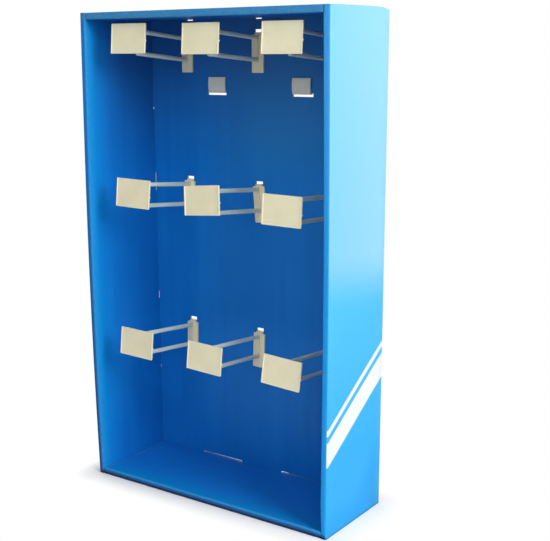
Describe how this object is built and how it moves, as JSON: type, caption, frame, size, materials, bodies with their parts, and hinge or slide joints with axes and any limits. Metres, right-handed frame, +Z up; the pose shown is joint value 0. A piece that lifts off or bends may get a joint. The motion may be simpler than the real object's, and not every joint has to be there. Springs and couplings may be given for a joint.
{
  "type": "cardboard display stand",
  "caption": "Open-fronted display tray folded from blue printed corrugated board, with moulded label hooks hung in slots of its back panel and bent clips on the edges of its hanger slots.",
  "frame": {"origin": "middle of the underside of the tray", "axes": "+Z up, the open front faces -Y, +X to the right seen from the front"},
  "size_m": [0.33, 0.1194, 0.555],
  "materials": {
    "board": "satin blue printed corrugated board",
    "hook_plastic": "satin ivory moulded plastic",
    "clip_plastic": "matt grey moulded plastic"
  },
  "bodies": {
    "root": {"tray": "board", "hook_top_left": "hook_plastic", "hook_top_mid": "hook_plastic", "hook_top_right": "hook_plastic", "hook_mid_left": "hook_plastic", "hook_mid_mid": "hook_plastic", "hook_mid_right": "hook_plastic", "hook_low_left": "hook_plastic", "hook_low_mid": "hook_plastic", "hook_low_right": "hook_plastic", "hanger_left": "clip_plastic", "hanger_right": "clip_plastic"}
  },
  "joints": []
}
